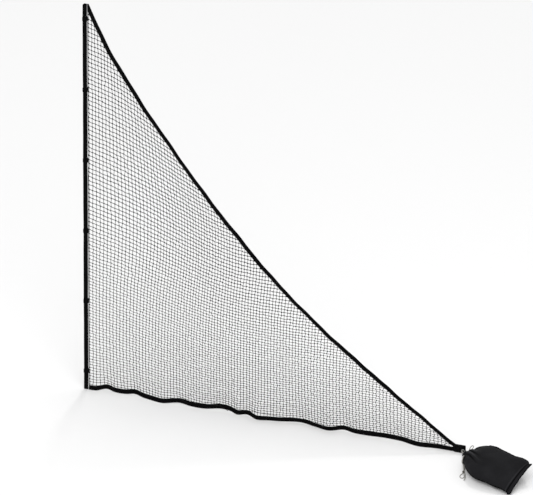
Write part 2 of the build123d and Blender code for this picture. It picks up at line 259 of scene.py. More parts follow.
BLACK = (0.0010, 0.0010, 0.0011), (0.0030, 0.0030, 0.0032)
WEBBING = webbing_material("edge_webbing", *BLACK, stitch=0.0092)
STRAP_WEB = webbing_material("strap_webbing", (0.0012, 0.0012, 0.0013), (0.0036, 0.0036, 0.0038), 0.008)
TAB_WEB = webbing_material("tab_webbing", *BLACK)
TWINE = twine_material()
CORD_GREY = cord_material("braided_cord", (0.15, 0.14, 0.125), (0.42, 0.41, 0.38))
# A darker copy of the cord, used on the knot as painted shade between its turns.
CORD_KNOT_SHADED = cord_material("braided_cord_painted_shade", (0.05, 0.045, 0.04), (0.16, 0.15, 0.13))
CLOTH = cloth_material()
LOOPS = rough_material("loop_pile", (0.006, 0.006, 0.006), (0.022, 0.022, 0.023), 1600, 0.0006)
HOOKS = rough_material("hook_tape", (0.006, 0.006, 0.006), (0.018, 0.018, 0.019), 1100, 0.0005, 0.5, 0.35)
SAND = rough_material("dry_sand", (0.42, 0.33, 0.21), (0.68, 0.57, 0.4), 900, 0.0007)
METAL = metal_material()
THREAD = rough_material("sewing_thread", (0.01, 0.01, 0.011), (0.035, 0.035, 0.037), 1500, 0.0002, 0.6, 0.25)


# ---- Mesh helpers ----
def mesh_object(name, points, faces, material, uv=None):
    """A smooth mesh from arrays. uv holds one pair, in metres, for each corner of each face."""
    mesh = bpy.data.meshes.new(name)
    mesh.from_pydata([tuple(p) for p in points], [], [tuple(f) for f in faces])
    if uv is not None:
        layer = mesh.uv_layers.new(name="UVMap")
        layer.data.foreach_set("uv", np.asarray(uv, np.float32).ravel())
    mesh.polygons.foreach_set("use_smooth", [True] * len(mesh.polygons))
    mesh.materials.append(material)
    mesh.update()
    return add_object(name, mesh)


# The row and the column of each corner of a quad, counted from its first corner.
QUAD_ROWS, QUAD_COLUMNS = np.array([0, 0, 1, 1]), np.array([0, 1, 1, 0])


def grid_faces(rows, columns):
    """Quads of a grid of points whose last column joins its first, and the row and column of each quad."""
    i, j = np.indices((rows - 1, columns)).reshape(2, -1, 1)
    return (i + QUAD_ROWS) * columns + (j + QUAD_COLUMNS) % columns, i, j


def corner_uv(u, v, i, j):
    """The UV of each corner of the quads at rows i and columns j, from a value for each grid line."""
    return np.stack([u[i + QUAD_ROWS], v[j + QUAD_COLUMNS]], -1).reshape(-1, 2)


def grid_object(name, points, u, v, material, caps=False):
    """A tube through a (rows, columns, 3) grid, with flat caps on its first and last row or none."""
    rows, columns = points.shape[:2]
    quads, i, j = grid_faces(rows, columns)
    faces, uv = list(quads), corner_uv(u, v, i, j)
    if caps:
        faces += [range(columns - 1, -1, -1), range((rows - 1) * columns, rows * columns)]
        uv = np.concatenate([uv, np.zeros((2 * columns, 2))])
    return mesh_object(name, points.reshape(-1, 3), faces, material, uv)


def closed_object(name, points, material, flip=False):
    """A surface that closes both ways round its grid. Its UV is x and z."""
    rows, columns = points.shape[:2]
    i, j = np.indices((rows, columns)).reshape(2, -1, 1)
    quads = (i + QUAD_ROWS) % rows * columns + (j + QUAD_COLUMNS) % columns
    if flip:
        quads = quads[:, [0, 3, 2, 1]]
    points = points.reshape(-1, 3)
    return mesh_object(name, points, quads, material, points[quads.ravel()][:, [0, 2]])


def unit(a):
    return a / np.maximum(np.linalg.norm(a, axis=-1, keepdims=True), 1e-12)


def xyz(x, y, z):
    """Points from three coordinates, of which some may be single numbers."""
    return np.stack(np.broadcast_arrays(x, y, z), -1)


def arc_lengths(points):
    steps = np.linalg.norm(np.diff(points, axis=0), axis=1)
    return np.concatenate([[0], np.cumsum(steps)])


def band_profile(width, thickness):
    """The outline of a band's cross-section, a rounded rectangle, as (across, out) pairs."""
    r = thickness * 0.48
    half, face = width / 2 - r, thickness / 2
    outline = []
    for quarter, (across, out) in enumerate(((1, 1), (-1, 1), (-1, -1), (1, -1))):
        for step in range(4):
            angle = quarter * pi / 2 + step * pi / 6
            outline.append((across * half + r * cos(angle), out * (face - r) + r * sin(angle)))
        if across == out:  # a wide face comes next
            outline += [(across * share * half, out * face) for share in (0.6, 0.2, -0.2, -0.6)]
    return np.array(outline)


def band(name, centres, across, width, thickness, material):
    """A flat woven band along a line of centres. across is the direction of its width at each centre."""
    centres, across = np.asarray(centres, float), unit(np.asarray(across, float))
    out = unit(np.cross(unit(np.gradient(centres, axis=0)), across))
    profile = band_profile(width, thickness)
    points = centres[:, None] + across[:, None] * profile[:, :1] + out[:, None] * profile[:, 1:]
    v = np.append(profile[:, 0], profile[0, 0])
    return grid_object(name, points, arc_lengths(centres), v, material, caps=True)


def tubes(name, lines, radii, material, sides=6):
    """Many thin round tubes in one mesh. radii is one number, or one for each line."""
    parts, base = [], 0
    angles = np.arange(sides) * tau / sides
    for line, radius in zip(lines, np.broadcast_to(radii, len(lines))):
        along = unit(np.gradient(line, axis=0))
        helper = np.where(np.abs(along[:, 1:2]) > 0.9, [1.0, 0, 0], [0, 1.0, 0])
        side = unit(np.cross(along, helper))
        other = np.cross(along, side)
        ring = side[:, None] * np.cos(angles)[:, None] + other[:, None] * np.sin(angles)[:, None]
        quads, i, j = grid_faces(len(line), sides)
        uv = corner_uv(arc_lengths(line), np.arange(sides + 1) * tau * radius / sides, i, j)
        parts.append(((line[:, None] + ring * radius).reshape(-1, 3), quads + base, uv))
        base += len(line) * sides
    points, faces, uv = (np.concatenate(part) for part in zip(*parts))
    return mesh_object(name, points, faces, material, uv)


def put_on(made, body, slot, *nodes):
    """The last steps for a piece: its body and the CAD nodes that it stands for, which are hidden. slot is
    not used.
    """
    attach(made, body)
    if nodes:
        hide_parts(*nodes)
    return made


def curve_through(knots, values, at):
    """A smooth curve through given values: a cubic with slopes from the neighbours."""
    knots, values = np.asarray(knots, float), np.asarray(values, float)
    slopes = np.gradient(values, knots, axis=0)
    k = np.clip(np.searchsorted(knots, at, side="right") - 1, 0, len(knots) - 2)
    step = knots[k + 1] - knots[k]
    t = (np.asarray(at) - knots[k]) / step
    shape = (-1,) + (1,) * (values.ndim - 1)
    t, step = t.reshape(shape), step.reshape(shape)
    return ((2 * t**3 - 3 * t**2 + 1) * values[k] + (t**3 - 2 * t**2 + t) * step * slopes[k]
            + (3 * t**2 - 2 * t**3) * values[k + 1] + (t**3 - t**2) * step * slopes[k + 1])


# ---- Shape of the net: the sloped edge, the hem and the drift of the netting ----
SLOPE = np.array([[SWING_X + 0.006, TOP - 0.010], [0, 0], [NET_LENGTH - 0.054, GROUND + 0.030]])
chord = SLOPE[2] - SLOPE[0]
chord_length = np.hypot(*chord)
chord_out = np.array([-chord[1], chord[0]]) / chord_length
SLOPE[1] = SLOPE[0] + 0.453 * chord - 0.138 * chord_length * chord_out
# How far the sloped edge lies outside its even curve: the share of the way down, and metres.
SLOPE_DRIFT = np.array([
    (0.0, -0.006), (0.05, -0.010), (0.09, -0.0115), (0.15, -0.005), (0.22, 0.001), (0.34, 0.008),
    (0.49, 0.001), (0.65, -0.007), (0.78, 0.001), (0.91, 0.007), (1.0, 0.0),
])


def slope_line(t):
    """Points (x, z) on the sloped webbing's middle line."""
    drift = curve_through(*SLOPE_DRIFT.T, t)[:, None]
    t = t[:, None]
    even = (1 - t) ** 2 * SLOPE[0] + 2 * t * (1 - t) * SLOPE[1] + t**2 * SLOPE[2]
    return even + drift * chord_out


slope_table = slope_line(np.linspace(0, 1, 600))


def slope_height(x):
    return np.interp(x, slope_table[:, 0], slope_table[:, 1])


HEM_REACH = 0.12  # how far up the netting the hem's wanderings show
# How the hem snakes on the ground: x, how far towards the golfer, how far up.
HEM_DRIFT = np.array([
    (0.00, 0, 0), (0.06, -0.001, 0), (0.112, -0.027, 0.006), (0.157, -0.017, 0.001),
    (0.224, -0.017, 0.001), (0.27, -0.026, 0.005), (0.32, -0.010, 0.001), (0.364, 0, 0),
    (0.431, 0.012, 0), (0.53, -0.014, 0.005), (0.588, -0.005, 0.001), (0.667, -0.004, 0.001),
    (0.765, -0.017, 0.010), (0.81, -0.016, 0.006), (0.852, -0.001, 0), (0.902, -0.013, 0.003),
    (0.97, 0.018, 0), (1.03, 0.006, 0), (1.09, -0.002, 0.002), (1.205, -0.026, 0.003),
    (1.29, -0.010, 0), (1.37, 0.006, 0.001), (1.445, -0.019, 0.007), (1.50, -0.010, 0.003),
    (1.57, -0.011, 0.001), (1.68, -0.014, 0.004), (1.765, -0.014, 0.001), (1.865, 0.008, 0),
    (1.96, 0.001, 0.001), (2.05, -0.003, 0), (2.128, 0, 0),
])


def hem_drift(x):
    """How far the hem is towards the golfer, and up, at x."""
    moved = curve_through(HEM_DRIFT[:, 0], HEM_DRIFT[:, 1:], np.clip(x, 0, NET_LENGTH))
    return moved[..., 0], np.maximum(moved[..., 1], 0)


def net_depth(x, z):
    """The y of the netting: it hangs from the straight edges, bellies a little, and follows the hem."""
    toward, _ = hem_drift(x)
    above_hem = z - GROUND
    below_slope = np.maximum(slope_height(x) - z, 0)
    room = np.minimum(np.minimum(above_hem, below_slope), x)
    belly = 0.012 * (1 - np.exp(-np.maximum(room, 0) / 0.15)) * np.sin(5.1 * x + 2.3 * z)
    return NET_Y - toward * np.exp(-above_hem / HEM_REACH) - belly


# ---- Post edge ----
def post_edge():
    """The band up the post, with its top outer corner rounded off."""
    corner = 0.014
    z = np.linspace(GROUND + 0.0003, BAND_TOP, 400)
    sway = 0.0004 * np.sin(z * 9) + 0.0003 * np.sin(z * 23 + 1)
    centres = xyz(EDGE_CENTRE_X + sway, NET_Y, z)
    made = band("post_edge_band", centres, np.tile([1.0, 0, 0], (len(z), 1)), WEB, WEB_THICK, WEBBING)
    for vertex in made.data.vertices:
        low = EDGE_CENTRE_X - WEB / 2 + corner * max(0, (vertex.co.z - TOP + corner) / corner) ** 2
        vertex.co.x = min(max(vertex.co.x, low), SWING_X - 0.0001)
    return made


put_on(post_edge(), "post_edge", "webbing", "post_edge_webbing")


# ---- Sloped webbing and hem ----
def sloped_band():
    """The webbing up the slope. Its head is cut along the post edge, so the two meet in a point."""
    t = np.linspace(0.0, 1.0, 420)
    line = slope_line(t)
    head = line[0] + unit(line[:1] - line[6:7]) * np.linspace(0.024, 0.001, 12)[:, None]
    line = np.vstack([head, line])
    ripple = 0.0012 * np.sin(line[:, 0] * 31) + 0.0008 * np.sin(line[:, 0] * 67 + 1)
    direction = unit(np.gradient(line, axis=0))
    normal = np.stack([-direction[:, 1], direction[:, 0]], 1)
    line = line + normal * ripple[:, None]
    depth = NET_Y + 0.0015 * np.sin(line[:, 0] * 17)
    centres = xyz(line[:, 0], depth, line[:, 1])
    across = xyz(normal[:, 0], 0.12 * np.sin(line[:, 0] * 9), normal[:, 1])
    made = band("sloped_edge_band", centres, across, 0.0235, WEB_THICK, WEBBING)
    for vertex in made.data.vertices:
        vertex.co.x = max(vertex.co.x, SWING_X + SWING_GAP)
        vertex.co.z = min(vertex.co.z, BAND_TOP)
    return made


put_on(sloped_band(), "side_net", "webbing", "sloped_webbing")


def selvedge():
    """The cord that binds the netting's own edge, close beside the post edge."""
    z = np.linspace(GROUND + WEB, TOP - 0.034, 500)
    x = SWING_X + 0.0034 + 0.0002 * np.sin(z * 31)
    return tubes("net_selvedge", [xyz(x, NET_Y, z)], 0.0017, TWINE, 8)


put_on(selvedge(), "side_net", "netting")


def hem_band():
    """The webbing along the ground. It leans over more and less as it snakes."""
    x = np.linspace(SWING_X + SWING_GAP, NET_LENGTH - 0.004, 620)
    toward, up = hem_drift(x)
    lean = 0.25 + 0.45 * np.sin(4.3 * x - 0.6) * np.clip((x - 0.1) / 0.3, 0, 1)
    lean = np.clip(lean, -0.1, 0.75) * np.clip((2.02 - x) / 0.15, 0, 1)
    half = WEB / 2
    rise = GROUND + 0.0004 + half * np.cos(lean) + 0.0012 * np.sin(lean) + up
    centres = xyz(x, NET_Y - toward + half * np.sin(lean) * 0.6, rise)
    across = xyz(0 * x, np.sin(lean), np.cos(lean))
    return band("hem_band", centres, across, WEB, WEB_THICK, WEBBING)


put_on(hem_band(), "side_net", "webbing", "hem_webbing")


# ---- Netting ----
TWINE_SHARE = 0.070  # the twine's radius over the distance to the next twine
# The meshes pull sideways: the pitch of the columns at x, and how far a column leans over at height z.
COLUMN_PITCH = ((0.0, 0.1, 0.36, 0.6, 0.87, 1.2, 1.45, 1.7, 1.9, 2.1),
                (0.0180, 0.0195, 0.0175, 0.0155, 0.0170, 0.0176, 0.0181, 0.0195, 0.0210, 0.0210))
COLUMN_LEAN = ((-0.1, 0.3, 0.5, 0.8, 1.0, 1.2, 1.6, 2.2),
               (0.0, 0.0, 0.006, 0.026, 0.026, 0.012, -0.015, -0.050))
# The slope of the rows: how steeply they fall by the post at height z, and what is left of that at x.
ROW_FALL = (-0.1, 0.1, 0.4, 0.7, 1.0, 1.3, 1.6, 3.2), (0.08, 0.13, 0.19, 0.22, 0.26, 0.31, 0.34, 0.36)
FALL_LEFT = ((0.0, 0.3, 0.6, 0.75, 0.9, 1.2, 1.5, 1.75, 2.2),
             (0.9, 0.88, 0.82, 0.5, 0.05, 0.0, 0.05, 0.3, 0.35))
lean_z = np.linspace(-0.1, 2.2, 231)
lean_x = curve_through(*COLUMN_LEAN, lean_z)
fall_step = 0.01
fall_x = np.linspace(0, 2.2, 221)
fall_here = np.interp((fall_x[1:] + fall_x[:-1]) / 2, *FALL_LEFT)
fall_total = np.concatenate([[0], np.cumsum(fall_here * fall_step)])


def smooth_step(value, low, high):
    t = np.clip((value - low) / (high - low), 0, 1)
    return t * t * (3 - 2 * t)


def row_height(x, z_post):
    """The height at x of the row of meshes that starts at height z_post on the post edge."""
    z = z_post - np.interp(z_post, *ROW_FALL) * np.interp(x, fall_x, fall_total)
    z = GROUND + (z - GROUND) * (1 - 0.09 * smooth_step(x, 0.1, 1.0))
    return z + 0.004 * np.sin(4.7 * x + 3.1 * z_post) * np.clip(x / 0.2, 0, 1)


def spaced(start, end, pitch):
    """Places from start up to end. pitch says how far the next one is from each."""
    places, place = [], start
    while place < end:
        places.append(place)
        place += pitch(place)
    return np.array(places)


def netting():
    """Columns, rows and knots of the square mesh, cut to the three edges."""
    # The rows stand wider apart towards the top. starts are their heights by the post.
    starts = spaced(GROUND + WEB + 0.010, TOP + 0.5, lambda z: 0.017 + 0.008 * smooth_step(z, 0.35, 1.1))
    columns_x = spaced(SWING_X + 0.009, NET_LENGTH - 0.045, lambda x: np.interp(x, *COLUMN_PITCH))
    hem_toward, hem_up = hem_drift(columns_x)

    def column_x(x, z):
        """A column's place at height z. It doesn't lean where it is held: by the post and on the hem."""
        return x + np.interp(z, lean_z, lean_x) * np.clip((x - SWING_X) / 0.35, 0, 1)

    jitter = rng.normal(0, 0.0011, (len(columns_x), len(starts), 2))
    i, j = np.indices(jitter.shape[:2])
    zigzag = (0.0006 + 0.0014 * smooth_step(columns_x, 1.0, 1.5))[:, None]
    jitter[..., 0] += np.where((i + j) % 2, 1, -1) * zigzag
    node = np.full((len(columns_x), len(starts), 3), np.nan)
    for j, start in enumerate(starts):
        z = row_height(columns_x, start)
        z = row_height(column_x(columns_x, z), start)
        z = z + hem_up * np.exp(-(z - GROUND) / HEM_REACH)
        x = column_x(columns_x, z)
        inside = (z < slope_height(x) - 0.012) & (z > GROUND + 0.028)
        y = net_depth(x, z)
        node[inside, j] = xyz(x + jitter[:, j, 0], y, z + jitter[:, j, 1])[inside]

    def with_middles(line, sag):
        """Adds a point in the middle of each mesh side, a little out of line, as slack twine lies."""
        line = np.array(line)
        middles = (line[1:] + line[:-1]) / 2 + rng.normal(0, sag, (len(line) - 1, 3)) * [1, 0.5, 1]
        full = np.empty((2 * len(line) - 1, 3))
        full[0::2], full[1::2] = line, middles
        return full

    column_pitch, row_pitch = np.gradient(columns_x), np.gradient(starts)
    columns, rows = [], []
    for i, x in enumerate(columns_x):
        line = node[i][~np.isnan(node[i, :, 0])]
        foot = (x, NET_Y - hem_toward[i] + 0.001, GROUND + 0.018 + hem_up[i])
        top_x = x
        for _ in range(4):
            top_x = column_x(x, slope_height(top_x))
        head = (top_x, NET_Y, slope_height(top_x) - 0.001)
        if head[2] > foot[2] + 0.01:
            columns.append((with_middles(np.vstack([foot, line, head]), 0.0005), column_pitch[i]))
    for j, start in enumerate(starts):
        have = np.flatnonzero(~np.isnan(node[:, j, 0]))
        if len(have) == 0:
            continue
        line = [node[i, j] for i in have]
        if have[0] == 0:
            line.insert(0, (SWING_X + 0.0024, NET_Y, row_height(0.0, start)))
        last = line[-1]
        for reach in np.linspace(0, 0.05, 60):
            x = last[0] + reach
            z = last[2] - 0.3 * reach
            if z > slope_height(x) - 0.003:
                break
        line.append((x, NET_Y, z))
        rows.append((with_middles(line, 0.0006), row_pitch[j]))
    there = ~np.isnan(node[:, :, 0])
    usual_pitch = 0.0205  # the row pitch that the sizes of the knots are for
    scale = np.broadcast_to(np.sqrt(row_pitch / usual_pitch), there.shape)
    return columns, rows, node[there], scale[there]


def knot_blobs(centres, scale):
    """A small lump of twine for each knot, turned a little at random."""
    sides = 6
    count = len(centres)
    ring = np.arange(sides) * tau / sides
    rounds = [(0.92 * cos(a), 0.92 * sin(a), level) for level in (-0.55, 0.55) for a in ring]
    shape = np.array([(0, 0, -1), *rounds, (0, 0, 1)])
    size = np.stack([rng.uniform(0.0032, 0.0042, count), rng.uniform(0.0021, 0.0026, count),
                     rng.uniform(0.0032, 0.0042, count)], 1)
    turn = rng.normal(0, 0.35, count)[:, None] + 0.5
    local = shape * (size * scale[:, None])[:, None]
    x = local[..., 0] * np.cos(turn) - local[..., 2] * np.sin(turn)
    z = local[..., 0] * np.sin(turn) + local[..., 2] * np.cos(turn)
    points = xyz(x, local[..., 1], z) + centres[:, None]
    low, high, last = 1, 1 + sides, 1 + 2 * sides
    one = []
    for k in range(sides):
        n = (k + 1) % sides
        one += [(0, low + n, low + k), (low + k, low + n, high + n), (low + k, high + n, high + k),
                (last, high + k, high + n)]
    faces = (np.array(one) + len(shape) * np.arange(count)[:, None, None]).reshape(-1, 3)
    points = points.reshape(-1, 3)
    return mesh_object("net_knots", points, faces, TWINE, points[faces.ravel()][:, [0, 2]])


net_columns, net_row_lines, net_knots, knot_scale = netting()
for name, lines, nodes in (("net_columns", net_columns, ["net_panel"]), ("net_rows", net_row_lines, [])):
    radii = [TWINE_SHARE * pitch for _, pitch in lines]
    put_on(tubes(name, [line for line, _ in lines], radii, TWINE), "side_net", "netting", *nodes)
put_on(knot_blobs(net_knots, knot_scale), "side_net", "netting")


# ---- Post straps ----
POST_RADIUS = 0.0125
STRAP_WIDTH = 0.020
STRAP_THICK = 0.0015
PATCH_WIDTH = STRAP_WIDTH - 0.002


def arc_band(name, radius, start, end, height, width, thickness, material, steps=40):
    """A band round the post from one angle to another. radius is a number or a function of the angle."""
    angles = np.linspace(start, end, steps)
    r = np.array([radius(a) if callable(radius) else radius for a in angles])
    turn = np.radians(angles)
    centres = xyz(r * np.cos(turn), r * np.sin(turn), height)
    centres[:, 2] += 0.0003 * np.sin(angles / 17.0)
    return band(name, centres, np.tile([0, 0, 1.0], (steps, 1)), width, thickness, material)


def flap_middle(degrees):
    """The radius of the free arm's middle: it lies on the ring at its root and climbs over the patches."""
    return POST_RADIUS + 0.0001 + 0.0037 * smooth_step(180 - degrees, 0, 98) + STRAP_THICK / 2


for number, height in enumerate(STRAP_HEIGHTS, start=1):
    ring = arc_band(f"strap_ring_{number}", POST_RADIUS + STRAP_THICK / 2, 200, 430, height, STRAP_WIDTH,
                    0.00145, STRAP_WEB, 70)
    put_on(ring, "post_edge", "strap_webbing", f"post_strap_{number}")
    pad = band(f"strap_pad_{number}", [(-0.0047 + 0.002 * k, -0.0136, height) for k in range(11)],
               [(0, 0, 1.0)] * 11, STRAP_WIDTH - 0.0005, 0.0012, STRAP_WEB)
    put_on(pad, "post_edge", "strap_webbing")
    flap = arc_band(f"strap_flap_web_{number}", flap_middle, 203, -2, height, STRAP_WIDTH, STRAP_THICK,
                    STRAP_WEB, 80)
    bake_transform(flap)
    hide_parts(f"strap_flap_{number}")
    loops = arc_band(f"loop_patch_pile_{number}", POST_RADIUS + 0.0020, 0, 68, height, PATCH_WIDTH,
                     0.00098, LOOPS)
    put_on(loops, "post_edge", "loop_pile", f"loop_patch_{number}")
    hooks = arc_band(f"hook_patch_tape_{number}", POST_RADIUS + 0.0033, 1, 66, height, PATCH_WIDTH,
                     0.00096, HOOKS)
    put_on(hooks, f"strap_flap_{number}", "hook_tape", f"hook_patch_{number}")


# ---- Corner tab and eyelet ----
TAB_LENGTH, TAB_HEIGHT, TAB_LAYER = 0.066, 0.046, 0.0012
TAB_START = NET_LENGTH - TAB_LENGTH
TAB_FACE = WEB_THICK / 2 + TAB_LAYER
EYELET_BORE, EYELET_FLANGE = 0.0062, 0.011


def tab_layer(name, facing):
    """One layer of the tab: a rounded rectangle with a hole, wavy where the webbing runs under it."""
    count, rings, corner = 120, 14, 0.003
    turn = np.arange(count) * tau / count
    direction = np.stack([np.cos(turn), np.sin(turn)], 1)
    centre = np.array([EYELET.x, EYELET.z])
    low = np.array([TAB_START + 0.0003, GROUND + 0.0003])
    high = np.array([NET_LENGTH - 0.0003, GROUND + TAB_HEIGHT])
    room = np.abs(np.where(direction > 0, high, low) - centre)
    rim = centre + direction * (room / np.maximum(np.abs(direction), 1e-9)).min(axis=1, keepdims=True)
    inner = np.clip(rim, low + corner, high - corner)
    gap = rim - inner
    rim = inner + gap * np.minimum(1, corner / np.maximum(np.linalg.norm(gap, axis=1, keepdims=True), 1e-9))
    bore = centre + (EYELET_BORE + 0.0007) * direction
    share = np.linspace(0, 1, rings)[:, None, None]
    sheet = bore * (1 - share) + rim * share
    y = NET_Y - facing * (TAB_FACE + 0.0003 * np.sin(sheet[..., 0] * 300))
    front = xyz(sheet[..., 0], y, sheet[..., 1])
    back = front + [0, facing * TAB_LAYER, 0]
    return closed_object(name, np.concatenate([front, back[::-1]]), TAB_WEB, flip=facing > 0)


put_on(tab_layer("tab_front_layer", 1), "side_net", "tab_webbing", "corner_tab_front")
put_on(tab_layer("tab_back_layer", -1), "side_net", "tab_webbing", "corner_tab_back")


def stitch_line(points, pitch=0.0032):
    """Short thread runs along a line, each a little raised off the cloth."""
    points = np.asarray(points, float)
    lengths = arc_lengths(points)
    runs = []
    for start in np.arange(0, lengths[-1] - pitch * 0.7, pitch):
        at = np.linspace(start, start + pitch * 0.72, 4)
        runs.append(np.stack([np.interp(at, lengths, points[:, k]) for k in range(3)], 1))
    return runs


box_stitches = []
inset = 0.004
for y in (NET_Y - TAB_FACE - 0.0001, NET_Y + TAB_FACE + 0.0001):
    left, right, tip = TAB_START + inset, NET_LENGTH - 0.0275, NET_LENGTH - inset
    bottom, top = GROUND + inset, GROUND + TAB_HEIGHT - inset
    outline = [(left, y, bottom), (right, y, bottom), (right, y, top), (left, y, top), (left, y, bottom)]
    for line in (outline, [outline[0], outline[2]], [outline[1], outline[3]],
                 [(NET_LENGTH - 0.024, y, top), (tip, y, top), (tip, y, bottom)]):
        box_stitches += stitch_line(line)
put_on(tubes("tab_stitches", box_stitches, 0.00035, THREAD, 5), "side_net", "tab_webbing")


def turned(name, outline, node):
    """A metal ring turned round the eyelet's axis. outline is a closed list of (radius, y) pairs."""
    turn = np.arange(72) * tau / 72
    rings = np.array([[(EYELET.x + r * cos(a), y, EYELET.z + r * sin(a)) for a in turn] for r, y in outline])
    put_on(closed_object(name, rings, METAL, flip=True), "side_net", "eyelet_metal", node)


def eyelet_outline():
    """A rolled flange on the tab's front, with a barrel that reaches its back."""
    near, far, lift = NET_Y - TAB_FACE, NET_Y + TAB_FACE + 0.0007, 0.0002
    middle, half = (EYELET_BORE + EYELET_FLANGE) / 2, (EYELET_FLANGE - EYELET_BORE) / 2
    barrel = EYELET_BORE + 0.0008
    rolled = [(EYELET_BORE, far), (EYELET_BORE, near - lift)]
    for angle in np.linspace(pi, 0, 9):
        rolled.append((middle + half * cos(angle), near - lift - 0.0007 * sin(angle)))
    return rolled + [(EYELET_FLANGE, near), (barrel, near), (barrel, far)]


turned("eyelet_ring", eyelet_outline(), "eyelet")
washer_face = NET_Y + TAB_FACE
washer = [(EYELET_FLANGE, 0.0), (EYELET_FLANGE, 0.0003), (0.0106, 0.0007), (0.009, 0.0009), (0.0072, 0.0006),
          (0.0072, 0.0)]
turned("eyelet_washer_ring", [(r, washer_face + out) for r, out in washer], "eyelet_washer")


# ---- Weight bag ----
def heading(angle):
    """The level directions along a heading and square to it."""
    return np.array([cos(angle), sin(angle), 0.0]), np.array([-sin(angle), cos(angle), 0.0])


EYELET_FOOT = np.array([EYELET.x, NET_Y, GROUND])
UP = np.array([0, 0, 1.0])
HEM_FORWARD = heading(radians(-20))[0]
TIE_ALONG, TIE_ACROSS = heading(radians(-40))
BAG_HEADING = radians(-24)
BAG_ALONG, BAG_ACROSS = heading(BAG_HEADING)
NECK = EYELET_FOOT + 0.050 * TIE_ALONG


def tie_point(reach, side, rise):
    """A place given in mm: along the tie from the eyelet, across it, and up from the ground."""
    return EYELET_FOOT + (TIE_ALONG * reach + TIE_ACROSS * side + UP * rise) / 1000


def bag_point(reach, side, rise):
    """A place given in mm: along the bag from its neck, across it, and up from the ground."""
    return NECK + (BAG_ALONG * reach + BAG_ACROSS * side + UP * rise) / 1000


BAG_ROWS, BAG_AROUND = 300, 260  # the bag's skin as a grid of points
# along the bag, across it, height of centre, half width, half height (mm), heading, roll (degrees)
STATIONS = np.array([
    (40, -17, 34, 50, 31, -32, 0),
    (90, -32, 49, 86, 47, -28, 0),
    (150, -56, 60, 113, 59, -24, 0),
    (212, -70, 62, 131, 61, -22, 0),
    (300, -66, 63, 124, 61, -23, 3),
    (360, -61, 60, 119, 54, -21, 11),
    (402, -65, 60, 114, 37, -18, 17),
    (424, -73, 58, 104, 5, -15, 25),
])


def bag_frames(count):
    """Centre, half sizes and directions of sections all along the bag, from the neck to the end hem."""
    neck = tie_point(57, 0, 15)
    centres = np.array([neck] + [bag_point(*row[:3]) for row in STATIONS])
    sizes = np.array([(24.0, 12.0)] + [tuple(row[3:5]) for row in STATIONS]) / 1000
    angles = np.radians(np.array([(-40.0, 0.0)] + [tuple(row[5:7]) for row in STATIONS]))
    knots = arc_lengths(centres)
    at = np.linspace(0, knots[-1], count)
    centre, size, angle = (curve_through(knots, values, at) for values in (centres, sizes, angles))
    yaw, roll = angle[:, :1], angle[:, 1:]
    across = np.concatenate([-np.sin(yaw), np.cos(yaw), np.zeros((count, 1))], 1)
    lateral = across * np.cos(roll) + UP * np.sin(roll)
    upward = UP * np.cos(roll) - across * np.sin(roll)
    return at, centre, size, lateral, upward


def seam_turn(s, end):
    """How far round the bag the seams lie: it has rolled a little between its neck and its flat end."""
    return radians(35) * smooth_step(s, 0.03, 0.12) * (1 - smooth_step(s, end - 0.15, end))


def hem_groove(s, end):
    """1 along the row of stitches that closes the bag's end, and 0 away from it."""
    return np.exp(-(((end - 0.005 - s) / 0.0020) ** 2))


